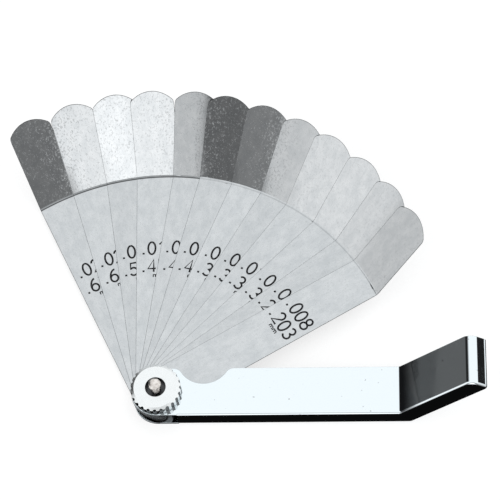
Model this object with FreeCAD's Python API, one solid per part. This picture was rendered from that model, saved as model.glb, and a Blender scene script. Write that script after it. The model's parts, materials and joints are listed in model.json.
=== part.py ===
import FreeCAD
import Part
import math
import os

# A folding feeler gauge: twelve bent steel blades on one pivot, in a folded sheet case, locked by a
# knurled thumb nut. Millimetres. The origin is on the pivot axis, at the underside of the case.
# +X runs along the case to its bend, +Y is the side where the blades swing out, +Z is up the pivot.

INCH = 25.4

# The twelve blades, from the bottom of the stack to the top: thickness, and resting angle from +X.
BLADE_SIZES_INCH = (0.025, 0.024, 0.022, 0.018, 0.017, 0.016, 0.015, 0.014, 0.013, 0.012, 0.010, 0.008)
BLADE_ANGLES_DEG = (116.7, 108.0, 99.5, 92.0, 83.1, 76.5, 68.4, 60.7, 53.6, 45.3, 37.7, 30.7)
BLADE_WIDTH = 0.5 * INCH
BLADE_GAP = 0.02
BLADE_PIVOT_END = 7.2
BLADE_CREASE_RADIUS = 1.0
TIP_SIDE_LENGTH = 23.2
TIP_ROUND_LENGTH = 3.3
TIP_SHOULDER_RADIUS = 1.2

# Blade tips and case are bent up by the same angle.
BEND_DEG = 50.0

# Folded sheet case.
SHEET = 0.6
BACK_GAP = 0.15
FLOOR_GAP = 0.05
CEILING_GAP = 0.35
CASE_OPEN_EDGE = 6.75
CASE_BEND_X = 67.6
CASE_TIP_LENGTH = 29.2
CASE_CREASE_RADIUS = 1.0
CASE_END_RADIUS = 2.6
CASE_TOE_RADIUS = 1.6
FOLD_RADIUS = 0.7
BACK_WALL_START = 5.8
NEST_OFFSET = 0.137

# Thumb notch in the open edges of both plates.
NOTCH_X = 13.0
NOTCH_RADIUS = 7.6
NOTCH_DEPTH = 4.6
NOTCH_ENTRY_RADIUS = 2.5

# Shouldered stud: the shoulder carries the blades and the thread carries the nut.
SHOULDER_RADIUS = 2.0
STUD_HEAD_RADIUS = 2.9
SHOULDER_DROP = 0.1
THREAD_RADIUS = 1.25
PEENED_RADIUS = 1.76
PEENED_HEIGHT = 0.9
PEENED_EDGE = 0.25
STUD_ABOVE_NUT = 2.4
RUNNING_CLEARANCE = 0.05

# Knurled thumb nut and the washer held on its underside.
WASHER_THICKNESS = 0.3
WASHER_RADIUS = 6.3
BOSS_RADIUS = 2.4
BOSS_HEIGHT = 0.25
NUT_RADIUS = 7.0
NUT_HEIGHT = 3.0
NUT_TOP_CHAMFER = (0.9, 0.5)
NUT_BASE_CHAMFER = 0.25
RECESS_RADIUS = 2.75
RECESS_DEPTH = 1.8
RECESS_EDGE = 0.15
KNURL_COUNT = 24
KNURL_RADIUS = 0.55
KNURL_CENTRE_RADIUS = 7.15

# Helper solids reach past what they cut or trim by this much.
OVERSHOOT = 1.0
TOLERANCE = 1e-6

# Worked out from the values above.
BLADE_THICKNESSES = [size * INCH for size in BLADE_SIZES_INCH]
STACK_HEIGHT = sum(BLADE_THICKNESSES) + BLADE_GAP * (len(BLADE_THICKNESSES) - 1)
CASE_HEIGHT = 2 * SHEET + FLOOR_GAP + STACK_HEIGHT + CEILING_GAP
CASE_BACK = -(BLADE_WIDTH / 2 + BACK_GAP + SHEET)
NUT_BASE = CASE_HEIGHT + WASHER_THICKNESS
NUT_TOP = NUT_BASE + NUT_HEIGHT
BEND = math.radians(BEND_DEG)
HALF_BEND = math.tan(BEND / 2)
ALONG_TIP = FreeCAD.Vector(math.cos(BEND), 0, math.sin(BEND))
INTO_TIP = FreeCAD.Vector(math.sin(BEND), 0, -math.cos(BEND))
BLADE_SLOPE = TIP_SIDE_LENGTH + TIP_ROUND_LENGTH
BLADE_REACH_Z = CASE_HEIGHT + BLADE_SLOPE

Z_AXIS = FreeCAD.Vector(0, 0, 1)
ORIGIN = FreeCAD.Vector(0, 0, 0)


def xz(x, z):
    return FreeCAD.Vector(x, 0, z)


def line(a, b):
    return Part.LineSegment(a, b).toShape()


def arc(a, middle, b):
    return Part.Arc(a, middle, b).toShape()


def polygon_face(points):
    return Part.Face(Part.makePolygon(points + points[:1]))


def turned(points):
    """Solid of revolution about the pivot axis from (radius, height) corners."""
    return polygon_face([xz(r, z) for r, z in points]).revolve(ORIGIN, Z_AXIS, 360)


def cylinder(radius, low, high, x=0.0, y=0.0):
    return Part.makeCylinder(radius, high - low, FreeCAD.Vector(x, y, low))


def vertical_edges(shape, wanted):
    """Edges parallel to Z whose plan position passes the test wanted(x, y)."""
    found = []
    for edge in shape.Edges:
        a = edge.Vertexes[0].Point
        b = edge.Vertexes[-1].Point
        upright = math.hypot(a.x - b.x, a.y - b.y) < TOLERANCE and abs(a.z - b.z) > TOLERANCE
        if upright and wanted(a.x, a.y):
            found.append(edge)
    return found


# Blades


def bent_disc(bottom, thickness, corner):
    """Sheet turned about the pivot: flat out to the crease, then a cone rising at the bend angle.

    corner is the radius at which the flat and the sloping undersides would meet. Every blade is part
    of such a disc, so a blade can swing past its neighbours with the same gap everywhere.
    """
    inner = BLADE_CREASE_RADIUS
    outer = inner + thickness
    start = corner - outer * HALF_BEND
    centre_z = bottom + outer
    slope = ALONG_TIP * (BLADE_SLOPE + OVERSHOOT)

    def on_crease(radius, angle):
        return xz(start + radius * math.sin(angle), centre_z - radius * math.cos(angle))

    low_end = on_crease(outer, BEND) + slope
    high_end = on_crease(inner, BEND) + slope
    edges = [
        line(xz(0, bottom), on_crease(outer, 0)),
        arc(on_crease(outer, 0), on_crease(outer, BEND / 2), on_crease(outer, BEND)),
        line(on_crease(outer, BEND), low_end),
        line(low_end, high_end),
        line(high_end, on_crease(inner, BEND)),
        arc(on_crease(inner, BEND), on_crease(inner, BEND / 2), on_crease(inner, 0)),
        line(on_crease(inner, 0), xz(0, bottom + thickness)),
        line(xz(0, bottom + thickness), xz(0, bottom)),
    ]
    return Part.Face(Part.Wire(edges)).revolve(ORIGIN, Z_AXIS, 360)


def blade_outline(shoulder, apex):
    """Upright prism of the blade's plan: parallel sides, round pivot end, arched tip."""
    half = BLADE_WIDTH / 2
    pivot_right = FreeCAD.Vector(0, -half, 0)
    tip_right = FreeCAD.Vector(shoulder, -half, 0)
    tip_left = FreeCAD.Vector(shoulder, half, 0)
    pivot_left = FreeCAD.Vector(0, half, 0)
    edges = [
        line(pivot_right, tip_right),
        arc(tip_right, FreeCAD.Vector(apex, 0, 0), tip_left),
        line(tip_left, pivot_left),
        arc(pivot_left, FreeCAD.Vector(-BLADE_PIVOT_END, 0, 0), pivot_right),
    ]
    prism = Part.Face(Part.Wire(edges)).extrude(FreeCAD.Vector(0, 0, BLADE_REACH_Z))
    shoulders = vertical_edges(prism, lambda x, y: abs(x - shoulder) < TOLERANCE)
    return prism.makeFillet(TIP_SHOULDER_RADIUS, shoulders)


def blade(bottom, thickness, corner, angle):
    """One blade, its corner radius as in bent_disc, swung to its angle."""
    shoulder = corner + TIP_SIDE_LENGTH * math.cos(BEND)
    apex = corner + BLADE_SLOPE * math.cos(BEND)
    solid = bent_disc(bottom, thickness, corner).common(blade_outline(shoulder, apex))
    hole_radius = SHOULDER_RADIUS + RUNNING_CLEARANCE
    solid = solid.cut(cylinder(hole_radius, bottom - OVERSHOOT, bottom + thickness + OVERSHOOT))
    solid.rotate(ORIGIN, Z_AXIS, angle)
    return solid


def blades():
    """All twelve blades by name, each nested on the one below along the whole bend."""
    made = {}
    bottom = SHEET + FLOOR_GAP
    top_corner = CASE_BEND_X + SHEET * HALF_BEND + NEST_OFFSET
    corner = top_corner + STACK_HEIGHT * HALF_BEND
    for size, thickness, angle in zip(BLADE_SIZES_INCH, BLADE_THICKNESSES, BLADE_ANGLES_DEG):
        name = "blade_%02d_thou" % round(size * 1000)
        made[name] = blade(bottom, thickness, corner, angle)
        bottom += thickness + BLADE_GAP
        corner -= (thickness + BLADE_GAP) * HALF_BEND
    return made


# Case


def edges_across(prism, corner):
    """Edges of a prism along Y that stand over one corner of its side view."""
    found = []
    for edge in prism.Edges:
        offsets = [math.hypot(v.Point.x - corner.x, v.Point.z - corner.z) for v in edge.Vertexes]
        if max(offsets) < TOLERANCE:
            found.append(edge)
    return found


def channel_profile(inset, crease_top, crease_bottom):
    """Side view of the bent channel from the back wall's start to the end wall, inset by a distance."""
    bend = xz(CASE_BEND_X, CASE_HEIGHT)
    floor = xz(CASE_BEND_X + (CASE_HEIGHT - inset) * HALF_BEND, inset)
    ceiling = xz(CASE_BEND_X + inset * HALF_BEND, CASE_HEIGHT - inset)
    end = bend + ALONG_TIP * (CASE_TIP_LENGTH - inset)
    end_low = end + INTO_TIP * (CASE_HEIGHT - inset)
    end_high = end + INTO_TIP * inset
    start_low = xz(BACK_WALL_START, inset)
    start_high = xz(BACK_WALL_START, CASE_HEIGHT - inset)
    prism = polygon_face([start_low, floor, end_low, end_high, ceiling, start_high])
    prism = prism.extrude(FreeCAD.Vector(0, 1, 0))
    rounded = (
        (floor, crease_bottom),
        (ceiling, crease_top),
        (end_high, CASE_END_RADIUS - inset),
        (end_low, CASE_TOE_RADIUS - inset),
    )
    for corner, radius in rounded:
        prism = prism.makeFillet(radius, edges_across(prism, corner))
    return min(prism.Faces, key=lambda face: face.BoundBox.YMax)


def channel(inset, back, front, crease_top, crease_bottom):
    """The profile drawn across the case, with its long back edges rounded as a folded sheet is."""
    face = channel_profile(inset, crease_top, crease_bottom)
    face.translate(FreeCAD.Vector(0, back, 0))
    solid = face.extrude(FreeCAD.Vector(0, front - back, 0))
    folds = []
    for edge in solid.Edges:
        box = edge.BoundBox
        at_back = abs(box.YMin - back) < TOLERANCE and abs(box.YMax - back) < TOLERANCE
        at_start = abs(box.XMax - BACK_WALL_START) < TOLERANCE
        if at_back and not at_start:
            folds.append(edge)
    return solid.makeFillet(FOLD_RADIUS - inset, folds)


def pivot_plate(low):
    """Round-ended end of one plate, around the pivot, where there is no back wall."""
    radius = (CASE_OPEN_EDGE - CASE_BACK) / 2
    middle = (CASE_OPEN_EDGE + CASE_BACK) / 2
    a = FreeCAD.Vector(0, CASE_BACK, low)
    b = FreeCAD.Vector(BACK_WALL_START, CASE_BACK, low)
    c = FreeCAD.Vector(BACK_WALL_START, CASE_OPEN_EDGE, low)
    d = FreeCAD.Vector(0, CASE_OPEN_EDGE, low)
    edges = [line(a, b), line(b, c), line(c, d), arc(d, FreeCAD.Vector(-radius, middle, low), a)]
    return Part.Face(Part.Wire(edges)).extrude(FreeCAD.Vector(0, 0, SHEET))


def folded_channel():
    """The bent channel: bottom plate, back wall and top plate in one fold, closed at the far end."""
    crease = CASE_CREASE_RADIUS
    outer = channel(0, CASE_BACK, CASE_OPEN_EDGE, crease, crease + SHEET)
    inner = channel(SHEET, CASE_BACK + SHEET, CASE_OPEN_EDGE + OVERSHOOT, crease + SHEET, crease)
    return outer.cut(inner)


def cut_thumb_notch(shell):
    """Round notch through both open edges, with rounded entries."""
    notch_y = CASE_OPEN_EDGE - NOTCH_DEPTH + NOTCH_RADIUS
    shell = shell.cut(cylinder(NOTCH_RADIUS, -OVERSHOOT, CASE_HEIGHT + OVERSHOOT, NOTCH_X, notch_y))

    def beside_notch(x, y):
        return abs(y - CASE_OPEN_EDGE) < TOLERANCE and abs(x - NOTCH_X) < NOTCH_RADIUS

    return shell.makeFillet(NOTCH_ENTRY_RADIUS, vertical_edges(shell, beside_notch))


def case():
    plates = [pivot_plate(0), pivot_plate(CASE_HEIGHT - SHEET)]
    shell = cut_thumb_notch(folded_channel().fuse(plates).removeSplitter())
    stud_hole = cylinder(STUD_HEAD_RADIUS, -OVERSHOOT, SHEET + OVERSHOOT)
    top_hole = cylinder(SHOULDER_RADIUS + RUNNING_CLEARANCE, CASE_HEIGHT - SHEET - OVERSHOOT,
                        CASE_HEIGHT + OVERSHOOT)
    return shell.cut([stud_hole, top_hole])


# Pivot stud, washer and thumb nut


def pivot_screw():
    """Stud pressed flush into the bottom plate, with a shoulder, a thread and a peened end."""
    top = NUT_TOP + STUD_ABOVE_NUT
    shoulder_top = CASE_HEIGHT - SHOULDER_DROP
    return turned([
        (0, 0),
        (STUD_HEAD_RADIUS, 0),
        (STUD_HEAD_RADIUS, SHEET),
        (SHOULDER_RADIUS, SHEET),
        (SHOULDER_RADIUS, shoulder_top),
        (THREAD_RADIUS, shoulder_top),
        (THREAD_RADIUS, top - PEENED_HEIGHT),
        (PEENED_RADIUS, top - PEENED_HEIGHT + PEENED_EDGE),
        (PEENED_RADIUS, top - PEENED_EDGE),
        (PEENED_RADIUS - PEENED_EDGE, top),
        (0, top),
    ])


def nut_washer():
    """Flat ring between the nut and the case, running on the nut's boss."""
    bore = cylinder(BOSS_RADIUS + RUNNING_CLEARANCE, CASE_HEIGHT - OVERSHOOT, NUT_BASE + OVERSHOOT)
    return cylinder(WASHER_RADIUS, CASE_HEIGHT, NUT_BASE).cut(bore)


def thumb_nut():
    """Straight-knurled nut with a recess round the stud's end and a boss through the washer."""
    bore = THREAD_RADIUS + RUNNING_CLEARANCE
    across, drop = NUT_TOP_CHAMFER
    nut = turned([
        (bore, NUT_BASE - BOSS_HEIGHT),
        (BOSS_RADIUS, NUT_BASE - BOSS_HEIGHT),
        (BOSS_RADIUS, NUT_BASE),
        (NUT_RADIUS - NUT_BASE_CHAMFER, NUT_BASE),
        (NUT_RADIUS, NUT_BASE + NUT_BASE_CHAMFER),
        (NUT_RADIUS, NUT_TOP - drop),
        (NUT_RADIUS - across, NUT_TOP),
        (RECESS_RADIUS + RECESS_EDGE, NUT_TOP),
        (RECESS_RADIUS, NUT_TOP - RECESS_EDGE),
        (RECESS_RADIUS, NUT_TOP - RECESS_DEPTH),
        (bore, NUT_TOP - RECESS_DEPTH),
    ])
    grooves = []
    for step in range(KNURL_COUNT):
        angle = 2 * math.pi * step / KNURL_COUNT
        x = KNURL_CENTRE_RADIUS * math.cos(angle)
        y = KNURL_CENTRE_RADIUS * math.sin(angle)
        grooves.append(cylinder(KNURL_RADIUS, NUT_BASE - OVERSHOOT, NUT_TOP + OVERSHOOT, x, y))
    return nut.cut(grooves)


def main():
    os.makedirs("parts", exist_ok=True)
    parts = {
        "case": case(),
        "pivot_screw": pivot_screw(),
        "nut_washer": nut_washer(),
        "thumb_nut": thumb_nut(),
    }
    parts.update(blades())
    for name, shape in parts.items():
        shape.exportStep("parts/%s.step" % name)
        print("%-15s solids %d  volume %8.2f mm3  valid %s"
              % (name, len(shape.Solids), shape.Volume, shape.isValid()))


main()
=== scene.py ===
import json
import math

import bpy
from mathutils import Matrix, Vector


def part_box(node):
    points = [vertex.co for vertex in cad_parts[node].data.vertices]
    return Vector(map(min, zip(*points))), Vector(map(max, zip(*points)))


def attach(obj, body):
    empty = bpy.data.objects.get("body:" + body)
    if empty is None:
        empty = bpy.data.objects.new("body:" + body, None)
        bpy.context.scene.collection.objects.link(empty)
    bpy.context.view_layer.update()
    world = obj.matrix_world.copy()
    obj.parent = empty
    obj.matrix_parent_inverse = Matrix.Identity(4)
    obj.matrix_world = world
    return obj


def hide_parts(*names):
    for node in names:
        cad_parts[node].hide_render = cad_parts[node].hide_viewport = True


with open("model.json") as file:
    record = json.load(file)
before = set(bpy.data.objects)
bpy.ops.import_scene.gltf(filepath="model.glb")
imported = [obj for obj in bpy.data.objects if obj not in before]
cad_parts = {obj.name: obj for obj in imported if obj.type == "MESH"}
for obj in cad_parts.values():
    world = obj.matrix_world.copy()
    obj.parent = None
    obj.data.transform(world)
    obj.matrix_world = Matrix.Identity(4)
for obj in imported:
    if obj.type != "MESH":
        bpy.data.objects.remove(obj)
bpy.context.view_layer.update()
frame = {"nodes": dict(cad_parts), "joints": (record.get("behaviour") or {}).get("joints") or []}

# A folding feeler gauge: twelve bent steel blades in a chromed case, on a stud with a knurled nut.
# Metres, in the CAD frame: the origin is on the pivot axis, at the underside of the case.

MM = 0.001
INCH = 0.0254
UP = Vector((0, 0, 1))

# Viewpoint: camera place, the way it looks (turn from +Y, then down), roll and focal length.
CAMERA_PLACE = Vector((69.2, -220.1, 558.7)) * MM
CAMERA_TURN = math.radians(-9.47)
CAMERA_DOWN = math.radians(64.19)
CAMERA_ROLL = math.radians(-9.31)
CAMERA_LENS = 154.2
SENSOR = 36.0

# Bend of the blade tips and of the case, and how far the case's bend lies from the pivot along its slope.
BEND = math.radians(50)
CASE_BEND_X = 67.6 * MM
CASE_HEIGHT = 6.75 * MM
BEND_REACH = CASE_BEND_X * math.cos(BEND) + CASE_HEIGHT * math.sin(BEND)

# Blades: middle of a tip's slope (distance from the pivot, height), half the angle that a tip fills as
# seen from the pivot, and the darker and lighter extremes of the steel.
BLADE_HALF_WIDTH = 6.35 * MM
TIP_MIDDLE = (79 * MM, 16 * MM)
TIP_SPREAD = math.asin(BLADE_HALF_WIDTH / TIP_MIDDLE[0])
BLADE_TINTS = ((0.49, 0.512, 0.526), (0.575, 0.593, 0.604))

# Dark colours: dirt and painted shade on steel, painted shade in the bend of the chrome.
GRIME_AND_SHADE = (0.02, 0.02, 0.022, 1)
CHROME_BEND_SHADE = (0.02, 0.02, 0.025, 1)

# Light tent: its upper walls and top, its openings, the dark room below, and the brightness of the card
# that each tip mirrors, from the thickest blade to the thinnest.
TENT_TOP = (0.58, 0.588, 0.592, 1)
TENT_OPENING = (0.01, 0.01, 0.01, 1)
ROOM_BELOW = (0.002, 0.002, 0.002, 1)
TIP_LIGHT = (0.27, 1.45, 1.8, 1.55, 0.92, 0.21, 0.33, 1.03, 1.25, 1.25, 1.2, 0.92)

# Size marks etched across each blade: rows at these distances from the pivot.
INCH_ROW = 46.1 * MM
METRIC_ROW = 40.5 * MM
UNIT_ROW = 37.3 * MM
DIGIT_SIZE = (2.3 * MM, 3.9 * MM)
DIGIT_CENTRES = (1.9 * MM, -0.95 * MM, -3.8 * MM)
POINT_CENTRE = 4.3 * MM
POINT_SIZE = (0.62 * MM, 3.9 * MM)
STROKE = 0.56 * MM
UNIT_SIZE = (1.25 * MM, 0.85 * MM)
UNIT_STROKE = 0.3 * MM
MARK_DEPTH = 0.008 * MM

# Nut: its reach over the knurl, and the edge of the recess round the stud.
NUT_RADIUS = 7.0 * MM
RECESS_EDGE = 2.9 * MM

# Stud: shoulder, thread and peened end.
SHOULDER_DROP = 0.1 * MM
PEENED_HEIGHT = 0.9 * MM
THREAD_RADIUS = 1.25 * MM
THREAD_PITCH = 0.45 * MM
THREAD_DEPTH = 0.22 * MM
STUD_SEGMENTS = 64


class Nodes:
    """Builds one node tree: adds nodes with their inputs set or linked."""

    def __init__(self, tree):
        self.tree = tree

    def put(self, node, socket, value):
        if isinstance(value, bpy.types.NodeSocket):
            self.tree.links.new(value, node.inputs[socket])
        else:
            node.inputs[socket].default_value = value

    def add(self, kind, inputs, **settings):
        node = self.tree.nodes.new("ShaderNode" + kind)
        for key, value in settings.items():
            setattr(node, key, value)
        for socket, value in inputs.items():
            self.put(node, socket, value)
        return node

    def math(self, operation, *values):
        return self.add("Math", dict(enumerate(values)), operation=operation).outputs[0]

    def fit(self, value, low, high, to_low=0.0, to_high=1.0):
        """Smoothly maps low..high to to_low..to_high."""
        inputs = {"Value": value, "From Min": low, "From Max": high, "To Min": to_low, "To Max": to_high}
        return self.add("MapRange", inputs, interpolation_type="SMOOTHSTEP").outputs[0]

    def blend(self, share, a, b):
        inputs = {0: share, 6: a, 7: b}
        return self.add("Mix", inputs, data_type="RGBA").outputs[2]

    def ramp(self, value, stops):
        node = self.add("ValToRGB", {"Fac": value})
        elements = node.color_ramp.elements
        while len(elements) < len(stops):
            elements.new(1.0)
        for element, (position, level) in zip(elements, stops):
            element.position = position
            element.color = (level, level, level, 1)
        return node.outputs["Color"]

    def noise(self, place, stretch, detail=2.0, rough=0.5, **settings):
        """Noise of about one feature per metre / stretch along each axis of place."""
        scaled = self.add("VectorMath", {0: place, 1: stretch}, operation="MULTIPLY").outputs[0]
        inputs = {"Vector": scaled, "Scale": 1.0, "Detail": detail, "Roughness": rough}
        return self.add("TexNoise", inputs, **settings).outputs["Fac"]

    def part(self, vector, axis):
        return self.add("SeparateXYZ", {"Vector": vector}).outputs[axis]

    def radius(self):
        """Distance from the pivot axis."""
        flat = self.add("VectorMath", {0: self.place(), 1: (1, 1, 0)}, operation="MULTIPLY").outputs[0]
        return self.add("VectorMath", {0: flat}, operation="LENGTH").outputs["Value"]

    def upright(self):
        """1 on faces that stand upright in the CAD frame, such as the cut edges of a sheet."""
        lean = self.part(self.add("TexCoord", {}).outputs["Normal"], "Z")
        return self.fit(self.math("ABSOLUTE", lean), 0.5, 0.2)

    def edges(self, rounding, sharp=0.8):
        """1 along the edges and creases of a piece, 0 on its faces."""
        rounded = self.add("Bevel", {"Radius": rounding}, samples=16).outputs[0]
        true = self.add("NewGeometry", {}).outputs["Normal"]
        both = self.add("VectorMath", {0: rounded, 1: true}, operation="DOT_PRODUCT").outputs["Value"]
        return self.fit(both, 0.985, sharp)

    def place(self, turn=0.0, shift=(0, 0, 0)):
        """Position in the CAD frame, turned about the pivot and shifted."""
        coordinates = self.add("TexCoord", {}).outputs["Object"]
        inputs = {"Vector": coordinates, "Rotation": (0, 0, turn), "Location": shift}
        return self.add("Mapping", inputs).outputs[0]


def metal(name, colour, roughness, height, rounding=0.0):
    """Metal surface from functions of a Nodes helper that give colour, roughness and bump height."""
    material = bpy.data.materials.new(name)
    material.use_nodes = True
    nodes = Nodes(material.node_tree)
    surface = material.node_tree.nodes["Principled BSDF"]
    surface.inputs["Metallic"].default_value = 1.0
    nodes.put(surface, "Base Color", colour(nodes))
    nodes.put(surface, "Roughness", roughness(nodes))
    strength, distance, value = height(nodes)
    bump = {"Strength": strength, "Distance": distance, "Height": value}
    if rounding:
        bump["Normal"] = nodes.add("Bevel", {"Radius": rounding}, samples=8).outputs[0]
    nodes.put(surface, "Normal", nodes.add("Bump", bump).outputs[0])
    return material


def chrome():
    """Bright plate with faint pits, a little unevenness, and painted shade in the bend."""
    def pits(nodes):
        return nodes.fit(nodes.noise(nodes.place(), (900, 900, 900), 1.0), 0.72, 0.8)

    def painted_bend_shade(nodes):
        """Painted shade in the bend, thinning out up the slope."""
        spot = nodes.place()
        along = nodes.math("MULTIPLY", nodes.part(spot, "X"), math.cos(BEND))
        rise = nodes.math("MULTIPLY", nodes.part(spot, "Z"), math.sin(BEND))
        uneven = nodes.math("MULTIPLY", nodes.noise(spot, (300, 300, 300), 3.0), 1.2 * MM)
        reach = nodes.math("ADD", nodes.math("ADD", along, rise), uneven)
        thinning = nodes.fit(reach, BEND_REACH + 10.5 * MM, BEND_REACH + 1.5 * MM)
        lean = nodes.part(nodes.add("TexCoord", {}).outputs["Normal"], "X")
        return nodes.math("MULTIPLY", nodes.fit(lean, -0.3, -0.6), thinning)

    def colour(nodes):
        plate = nodes.blend(pits(nodes), (0.765, 0.825, 0.855, 1), (0.45, 0.48, 0.5, 1))
        # Painted shade: the case's slope is darkened near its bend.
        return nodes.blend(nodes.math("MULTIPLY", painted_bend_shade(nodes), 0.96), plate, CHROME_BEND_SHADE)

    def roughness(nodes):
        return nodes.fit(nodes.noise(nodes.place(), (180, 180, 180), 3.0), 0.3, 0.7, 0.03, 0.075)

    def height(nodes):
        return 0.25, 0.00002, nodes.noise(nodes.place(), (160, 160, 160), 2.0)

    return metal("chrome_plate", colour, roughness, height, 0.15 * MM)


def blade_steel(name, turn, shift, shade, crease, crease_shade, edge_shade):
    """Spring steel: soft patches, rougher specks, cut edges that are dark partly from oxide and partly as
    painted shade, painted shade along the edges, and painted shade along the bend.

    crease is the distance of the bend from the pivot; the last two arguments are how dark the painted shade
    along the bend and along the edges is.
    """
    def grain(nodes):
        return nodes.noise(nodes.place(turn, shift), (400, 4200, 400), 4.0, 0.6)

    def specks(nodes):
        fine = nodes.noise(nodes.place(turn, shift), (1500, 1900, 1500), 3.0, 0.6)
        return nodes.fit(fine, 0.48, 0.7)

    def patches(nodes):
        return nodes.fit(nodes.noise(nodes.place(turn, shift), (260, 420, 260), 5.0, 0.7), 0.3, 0.7)

    # Painted shade: a narrow dark line along the bend.
    def painted_crease_line(nodes):
        off = nodes.math("ABSOLUTE", nodes.math("SUBTRACT", nodes.radius(), crease))
        return nodes.math("MULTIPLY", nodes.fit(off, 0.26 * MM, 0.12 * MM), crease_shade)

    def colour(nodes):
        low, high = [tuple(shade * level for level in tint) + (1,) for tint in BLADE_TINTS]
        base = nodes.blend(patches(nodes), low, high)
        lined = nodes.blend(nodes.fit(grain(nodes), 0.35, 0.7, 0.0, 0.1), base, (0.4, 0.41, 0.42, 1))
        flecked = nodes.blend(nodes.math("MULTIPLY", specks(nodes), 0.1), lined, (0.25, 0.25, 0.25, 1))
        # Painted shade: the bend line and a band along the edges are blended to near black; the cut edges
        # too, partly as oxide and partly as painted shade.
        dark = nodes.math("MAXIMUM", painted_crease_line(nodes), nodes.math("MULTIPLY", nodes.upright(), 0.93))
        dark = nodes.math("MAXIMUM", dark, nodes.math("MULTIPLY", nodes.edges(0.3 * MM), edge_shade))
        return nodes.blend(dark, flecked, GRIME_AND_SHADE)

    def roughness(nodes):
        smooth = nodes.fit(patches(nodes), 0.2, 0.8, 0.04, 0.07)
        return nodes.math("ADD", smooth, nodes.math("MULTIPLY", specks(nodes), 0.2))

    def height(nodes):
        return 0.3, 0.000003, nodes.math("ADD", grain(nodes), specks(nodes))

    return metal(name, colour, roughness, height, 0.14 * MM)


def nut_plate():
    """Satin plate over turned faces, ringed about the pivot, with dirt and painted shade in the knurl and the
    recess.
    """
    def rings(nodes):
        turned = nodes.add("CombineXYZ", {"X": nodes.radius()}).outputs[0]
        return nodes.noise(turned, (9000, 0, 0), 2.0)

    def knurl_dirt_and_shade(nodes):
        # Painted shade, partly dirt: the knurl's grooves and the ring round the recess are darkened to near
        # black.
        groove = nodes.fit(nodes.radius(), NUT_RADIUS - 0.015 * MM, NUT_RADIUS - 0.07 * MM)
        knurl = nodes.math("MULTIPLY", nodes.upright(), groove)
        recess = nodes.fit(nodes.radius(), RECESS_EDGE + 0.03 * MM, RECESS_EDGE - 0.06 * MM)
        return nodes.math("MULTIPLY", nodes.math("MAXIMUM", knurl, recess), 0.95)

    def colour(nodes):
        plate = nodes.blend(rings(nodes), (0.74, 0.76, 0.765, 1), (0.84, 0.86, 0.865, 1))
        return nodes.blend(knurl_dirt_and_shade(nodes), plate, GRIME_AND_SHADE)

    def roughness(nodes):
        return nodes.fit(nodes.noise(nodes.place(), (700, 700, 700), 3.0), 0.3, 0.7, 0.2, 0.3)

    def height(nodes):
        return 0.3, 0.000006, rings(nodes)

    return metal("satin_plate", colour, roughness, height, 0.08 * MM)


def stud_metal():
    """Plain steel, browned a little and marked by the peening."""
    def mottle(nodes):
        return nodes.noise(nodes.place(), (1100, 1100, 1100), 3.0, 0.5)

    def colour(nodes):
        worn = nodes.fit(mottle(nodes), 0.35, 0.65)
        return nodes.blend(worn, (0.56, 0.52, 0.49, 1), (0.82, 0.785, 0.75, 1))

    def roughness(nodes):
        return nodes.fit(mottle(nodes), 0.3, 0.7, 0.26, 0.42)

    def height(nodes):
        return 0.4, 0.00002, mottle(nodes)

    return metal("peened_steel", colour, roughness, height)


def etched():
    """Dark etched marks, uneven as acid leaves them."""
    def colour(nodes):
        wear = nodes.fit(nodes.noise(nodes.place(), (2500, 2500, 2500), 3.0), 0.35, 0.75)
        return nodes.blend(wear, (0.012, 0.012, 0.014, 1), (0.07, 0.07, 0.072, 1))

    def roughness(nodes):
        return nodes.fit(nodes.noise(nodes.place(), (900, 900, 900), 2.0), 0.3, 0.7, 0.5, 0.7)

    def height(nodes):
        return 0.3, 0.000004, nodes.noise(nodes.place(), (6000, 6000, 6000), 2.0)

    return metal("etched_mark", colour, roughness, height)


# Blades and their size marks


def blade_list():
    """Every blade as (node, size in thousandths of an inch, resting angle), thickest first."""
    found = []
    for joint in frame["joints"]:
        name = joint["child"]
        if name.startswith("blade_"):
            found.append((name, int(name.split("_")[1]), -math.radians(joint["range_deg"][0])))
    return sorted(found, key=lambda blade: -blade[1])


def crease_radius(name):
    """Distance from the pivot at which a blade's upper face starts to rise."""
    spots = [vertex.co for vertex in frame["nodes"][name].data.vertices]
    flat_top = max(spot.z for spot in spots if spot.to_2d().length < 20 * MM)
    return min(spot.to_2d().length for spot in spots if spot.z > flat_top + 0.02 * MM)


def swept(centre, radii, start, end, steps=14):
    """Points along part of an ellipse, angles in degrees."""
    points = []
    for step in range(steps + 1):
        angle = math.radians(start + (end - start) * step / steps)
        points.append((centre[0] + radii[0] * math.cos(angle), centre[1] + radii[1] * math.sin(angle)))
    return points


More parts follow.
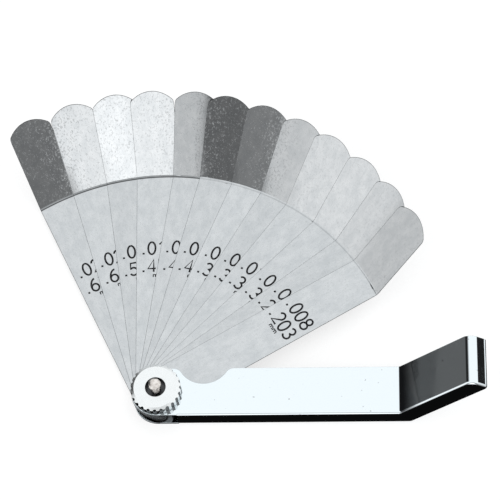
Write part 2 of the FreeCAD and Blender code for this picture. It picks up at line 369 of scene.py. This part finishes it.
# Strokes of each character in a box one wide and one high.
GLYPHS = {
    "0": [swept((0.5, 0.5), (0.46, 0.5), 90, 450, 28)],
    "1": [[(0.22, 0.78), (0.55, 1.0), (0.55, 0.0)]],
    "2": [swept((0.5, 0.71), (0.44, 0.29), 165, -35) + [(0.04, 0.0), (0.98, 0.0)]],
    "3": [swept((0.47, 0.76), (0.4, 0.24), 150, -90) + swept((0.47, 0.26), (0.47, 0.26), 90, -150)],
    "4": [[(0.74, 0.0), (0.74, 1.0), (0.02, 0.27), (1.0, 0.27)]],
    "5": [[(0.9, 1.0), (0.18, 1.0), (0.1, 0.53)] + swept((0.46, 0.31), (0.48, 0.31), 130, -150)],
    "6": [swept((0.86, 0.3), (0.82, 0.7), 95, 180), swept((0.5, 0.29), (0.46, 0.29), 180, 540, 24)],
    "7": [[(0.04, 1.0), (0.96, 1.0), (0.38, 0.0)]],
    "8": [swept((0.5, 0.76), (0.38, 0.24), 90, 450, 22), swept((0.5, 0.26), (0.47, 0.26), 90, 450, 24)],
    "9": [swept((0.14, 0.7), (0.82, 0.7), -85, 0), swept((0.5, 0.71), (0.46, 0.29), 0, 360, 24)],
    ".": [[(0.0, 0.08), (1.0, 0.08)]],
    "m": [[(0.0, 0.0), (0.0, 1.0)],
          swept((0.25, 0.65), (0.25, 0.3), 180, 0, 8) + [(0.5, 0.0)],
          swept((0.75, 0.65), (0.25, 0.3), 180, 0, 8) + [(1.0, 0.0)]],
}


def add_strokes(curve, glyph, centre, size):
    """Adds a character's strokes to a curve. The blade points along X, so its text reads along -Y."""
    for stroke in GLYPHS[glyph]:
        spline = curve.splines.new("POLY")
        spline.points.add(len(stroke) - 1)
        for point, (across, upwards) in zip(spline.points, stroke):
            x = centre[0] + (upwards - 0.5) * size[1]
            y = centre[1] - (across - 0.5) * size[0]
            point.co = (x, y, 0, 1)


def stroke_mesh(name, width, characters):
    """Mesh of round-edged strokes for (glyph, centre, size) entries, pressed nearly flat."""
    curve = bpy.data.curves.new(name, "CURVE")
    curve.dimensions = "3D"
    curve.bevel_depth = width / 2
    curve.bevel_resolution = 2
    curve.use_fill_caps = True
    for glyph, centre, size in characters:
        add_strokes(curve, glyph, centre, size)
    shape = bpy.data.objects.new(name, curve)
    bpy.context.scene.collection.objects.link(shape)
    bpy.context.view_layer.update()
    graph = bpy.context.evaluated_depsgraph_get()
    mesh = bpy.data.meshes.new_from_object(shape.evaluated_get(graph))
    bpy.data.objects.remove(shape)
    mesh.transform(Matrix.Diagonal((1, 1, 2 * MARK_DEPTH / width, 1)))
    return mesh


def size_characters(thou):
    """Both size rows of a blade: inches, then millimetres."""
    rows = ((INCH_ROW, "%03d" % thou), (METRIC_ROW, "%03d" % round(thou * INCH / MM)))
    placed = []
    for row, digits in rows:
        placed.append((".", (row, POINT_CENTRE), POINT_SIZE))
        for digit, centre in zip(digits, DIGIT_CENTRES):
            placed.append((digit, (row, centre), DIGIT_SIZE))
    return placed


def unit_characters():
    return [("m", (UNIT_ROW, side * 0.85 * MM), UNIT_SIZE) for side in (1, -1)]


def join_meshes(name, meshes):
    """One mesh from several."""
    points = []
    faces = []
    for mesh in meshes:
        first = len(points)
        points += [vertex.co.copy() for vertex in mesh.vertices]
        faces += [[first + index for index in face.vertices] for face in mesh.polygons]
    joined = bpy.data.meshes.new(name)
    joined.from_pydata(points, [], faces)
    return joined


def show(name, mesh, material, body):
    """Puts a finished mesh in the scene, smooth, riding on a CAD body."""
    mesh.polygons.foreach_set("use_smooth", [True] * len(mesh.polygons))
    mesh.materials.clear()
    mesh.materials.append(material)
    piece = bpy.data.objects.new(name, mesh)
    bpy.context.scene.collection.objects.link(piece)
    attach(piece, body)
    return piece


def add_marks(blade, material):
    name, thou, angle = blade
    low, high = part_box(name)
    large = stroke_mesh("size_strokes", STROKE, size_characters(thou))
    small = stroke_mesh("unit_strokes", UNIT_STROKE, unit_characters())
    mesh = join_meshes("marks_%02d_thou" % thou, [large, small])
    top = low.z + thou * MM * INCH
    mesh.transform(Matrix.Translation((0, 0, top)) @ Matrix.Rotation(angle, 4, "Z"))
    show(mesh.name, mesh, material, name)


# Stud


def stud_profile(case_top, top):
    """Stud from its flush head to its peened end: (height, radius) corners in mm, and the thread's ends."""
    shoulder_top = case_top - SHOULDER_DROP
    shoulder = shoulder_top / MM
    cap = top - PEENED_HEIGHT
    return {
        "head": [(0.0, 0.0), (0.0, 2.8), (0.05, 2.88), (0.6, 2.88), (0.6, 2.0), (shoulder - 0.1, 2.0),
                 (shoulder, 1.9)],
        "thread": (shoulder_top, cap),
        "cap": [(0.0, THREAD_RADIUS / MM), (0.12, 1.52), (0.3, 1.72), (0.5, 1.74), (0.66, 1.62), (0.78, 1.36),
                (0.86, 0.9), (0.88, 0.4), (0.89, 0.0)],
    }


def thread_radius(height, angle):
    turn = (height / THREAD_PITCH - angle / (2 * math.pi)) % 1.0
    return THREAD_RADIUS - THREAD_DEPTH * min(1.0, 3.0 * abs(turn - 0.5))


def peened(radius, angle, height):
    """Hammered unevenness of the stud's end."""
    wave = math.sin(3 * angle + 0.7) + 0.6 * math.sin(5 * angle + 2.1) + 0.4 * math.sin(8 * angle)
    return radius * (1 + 0.018 * wave), height - 0.03 * MM * math.sin(2 * angle + 1.0) * radius / (1.7 * MM)


def stud_mesh(case_top, top):
    profile = stud_profile(case_top, top)
    angles = [2 * math.pi * step / STUD_SEGMENTS for step in range(STUD_SEGMENTS)]
    rings = []
    for height, radius in profile["head"]:
        rings.append([(radius * MM, height * MM)] * STUD_SEGMENTS)
    start, end = profile["thread"]
    steps = round((end - start) / THREAD_PITCH * 12)
    for step in range(1, steps):
        height = start + (end - start) * step / steps
        rings.append([(thread_radius(height, angle), height) for angle in angles])
    for height, radius in profile["cap"]:
        rings.append([peened(radius * MM, angle, end + height * MM) for angle in angles])
    points = []
    for ring in rings:
        for angle, (radius, height) in zip(angles, ring):
            points.append((radius * math.cos(angle), radius * math.sin(angle), min(height, top)))
    faces = []
    for row in range(len(rings) - 1):
        for step in range(STUD_SEGMENTS):
            a = row * STUD_SEGMENTS + step
            b = row * STUD_SEGMENTS + (step + 1) % STUD_SEGMENTS
            faces.append((a, b, b + STUD_SEGMENTS, a + STUD_SEGMENTS))
    mesh = bpy.data.meshes.new("threaded_stud")
    mesh.from_pydata(points, [], faces)
    mesh.validate()
    return mesh


def add_stud(material):
    case_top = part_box("nut_washer")[0].z
    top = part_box("pivot_screw")[1].z
    piece = show("threaded_stud", stud_mesh(case_top, top), material, "case")
    merge = piece.modifiers.new("weld_poles", "WELD")
    merge.merge_threshold = 1e-7
    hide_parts("pivot_screw")


# Studio


def camera_axes():
    """Right, up and forward of the camera."""
    turn, down, roll = CAMERA_TURN, CAMERA_DOWN, CAMERA_ROLL
    forward = Vector((math.sin(turn) * math.cos(down), math.cos(turn) * math.cos(down), -math.sin(down)))
    level = Vector((math.cos(turn), -math.sin(turn), 0))
    upright = level.cross(forward)
    right = math.cos(roll) * level + math.sin(roll) * upright
    return right, right.cross(forward), forward


def add_camera():
    right, above, forward = camera_axes()
    lens = bpy.data.cameras.new("camera")
    lens.sensor_width = SENSOR
    lens.lens = CAMERA_LENS
    lens.clip_start = 0.01
    lens.clip_end = 10
    camera = bpy.data.objects.new("camera", lens)
    bpy.context.scene.collection.objects.link(camera)
    turned = Matrix((right, above, -forward)).transposed().to_4x4()
    camera.matrix_world = Matrix.Translation(CAMERA_PLACE) @ turned
    bpy.context.scene.camera = camera


def mirrored_turn(angle):
    """Compass direction, 0..1 from -X anticlockwise, that a tip at a fan angle mirrors to the camera."""
    radius, height = TIP_MIDDLE
    outward = Vector((math.cos(angle), math.sin(angle), 0))
    normal = math.cos(BEND) * UP - math.sin(BEND) * outward
    ray = (radius * outward + height * UP - CAMERA_PLACE).normalized()
    seen = ray.reflect(normal)
    return math.atan2(seen.y, seen.x) / (2 * math.pi) + 0.5


def horizon_stops(blades):
    """Ramp of the light round the horizon: one card per blade tip, then broad light and dark areas.

    Each card ends where the next blade covers its tip. A darker card reaches a little past that, because
    the steel blurs what it mirrors and light spreads into dark.
    """
    angles = [angle for name, thou, angle in blades]
    edges = [angles[0] + 1.2 * TIP_SPREAD]
    for index, angle in enumerate(angles[1:], 1):
        lean = 0.05 if TIP_LIGHT[index] < TIP_LIGHT[index - 1] else -0.12
        edges.append(angle + (1 + lean) * TIP_SPREAD)
    edges.append(angles[-1] - 1.2 * TIP_SPREAD)
    stops = []
    for light, high, low in zip(TIP_LIGHT, edges, edges[1:]):
        start, end = mirrored_turn(low), mirrored_turn(high)
        soft = 0.05 * (end - start)
        stops += [(start + soft, light / 2), (end - soft, light / 2)]
    stops.sort()
    return stops + [(0.42, 0.45), (0.52, 0.4), (0.55, 0.008), (0.6, 0.008), (0.64, 0.3), (0.68, 0.08),
                    (0.82, 0.08), (0.85, 0.065)]


def tent_wall(nodes, turn):
    """Light from halfway up: bright all round, dimmer in front, and dark where the tent is open."""
    opening = nodes.ramp(turn, [(0.17, 0.0), (0.2, 0.55), (0.37, 0.55), (0.4, 0.0),
                                (0.85, 0.0), (0.87, 1.0), (0.97, 1.0), (0.99, 0.0)])
    return nodes.blend(opening, TENT_TOP, TENT_OPENING)


def low_card(nodes, turn, height):
    """Share of a bright card below the horizon on the right, for the far end of the case."""
    reach = nodes.ramp(turn, [(0.53, 0.0), (0.55, 1.0), (0.63, 1.0), (0.65, 0.0)])
    depth = nodes.math("MULTIPLY", nodes.fit(height, -0.46, -0.38), nodes.fit(height, -0.02, -0.06))
    return nodes.math("MULTIPLY", reach, depth)


def tent_rise(nodes, turn, height):
    """Share of the tent's upper wall, which comes down lower behind the object."""
    behind = nodes.ramp(turn, [(0.4, 0.0), (0.43, 1.0), (0.84, 1.0), (0.86, 0.0)])
    behind = nodes.math("MULTIPLY", behind, nodes.fit(height, 0.14, 0.26))
    return nodes.math("MAXIMUM", behind, nodes.fit(height, 0.34, 0.46))


def add_world(blades):
    """Light tent by direction: room below, cards round the horizon, upper walls, top."""
    world = bpy.data.worlds.new("light_tent")
    world.use_nodes = True
    bpy.context.scene.world = world
    nodes = Nodes(world.node_tree)
    direction = nodes.add("TexCoord", {}).outputs["Generated"]
    parts = nodes.add("SeparateXYZ", {"Vector": direction}).outputs
    height = parts["Z"]
    turn = nodes.math("ARCTAN2", parts["Y"], parts["X"])
    turn = nodes.math("ADD", nodes.math("DIVIDE", turn, 2 * math.pi), 0.5)
    horizon = nodes.ramp(turn, horizon_stops(blades))
    lower = nodes.blend(nodes.fit(height, -0.62, -0.3), ROOM_BELOW, horizon)
    lower = nodes.blend(low_card(nodes, turn, height), lower, TENT_TOP)
    walled = nodes.blend(tent_rise(nodes, turn, height), lower, tent_wall(nodes, turn))
    sky = nodes.blend(nodes.fit(height, 0.72, 0.9), walled, TENT_TOP)
    background = world.node_tree.nodes["Background"]
    nodes.put(background, "Color", sky)
    background.inputs["Strength"].default_value = 2.0


def floor_paper():
    """Milky lit table top with faint fibres, so that shadows on it stay faint."""
    material = bpy.data.materials.new("white_paper")
    material.use_nodes = True
    nodes = Nodes(material.node_tree)
    surface = material.node_tree.nodes["Principled BSDF"]
    fibres = nodes.fit(nodes.noise(nodes.place(), (1200, 1200, 1200), 4.0), 0.3, 0.7)
    nodes.put(surface, "Base Color", nodes.blend(fibres, (0.35, 0.35, 0.35, 1), (0.37, 0.37, 0.37, 1)))
    surface.inputs["Emission Color"].default_value = (1, 1, 1, 1)
    surface.inputs["Emission Strength"].default_value = 0.72
    surface.inputs["Roughness"].default_value = 0.9
    surface.inputs["Specular IOR Level"].default_value = 0.1
    return material


def add_floor():
    """Pale floor just under the case. Polished metal mirrors the dark room below the table instead."""
    half = 1.5
    drop = -0.05 * MM
    corners = [(-half, -half, drop), (half, -half, drop), (half, half, drop), (-half, half, drop)]
    mesh = bpy.data.meshes.new("floor")
    mesh.from_pydata(corners, [], [(0, 1, 2, 3)])
    mesh.materials.append(floor_paper())
    floor = bpy.data.objects.new("floor", mesh)
    bpy.context.scene.collection.objects.link(floor)
    floor.visible_glossy = False


def dress(node, material):
    slots = frame["nodes"][node].data.materials
    slots.clear()
    slots.append(material)


def finish_blade(index, blade, marks):
    """Gives a blade its own steel, with painted shade in the bends (darker on the thick sheets) and along the
    edges, and its size marks.
    """
    name, thou, angle = blade
    shade = 1.0 + 0.03 * math.sin(2.4 * index)
    shift = (0.137 * index, 0.071 * index, 0)
    # Strength of the painted shade along the bend and along the edges.
    crease_shade = 0.85 if thou > 16 else 0.2
    edge_shade = min(1.0, 0.64 + 0.014 * thou)
    steel = blade_steel("steel_%02d" % thou, -angle, shift, shade, crease_radius(name), crease_shade, edge_shade)
    dress(name, steel)
    add_marks(blade, marks)


def main():
    bpy.context.scene.view_settings.view_transform = "Standard"
    blades = blade_list()
    add_camera()
    add_world(blades)
    add_floor()
    dress("case", chrome())
    plate = nut_plate()
    dress("thumb_nut", plate)
    dress("nut_washer", plate)
    marks = etched()
    for index, blade in enumerate(blades):
        finish_blade(index, blade, marks)
    add_stud(stud_metal())


main()
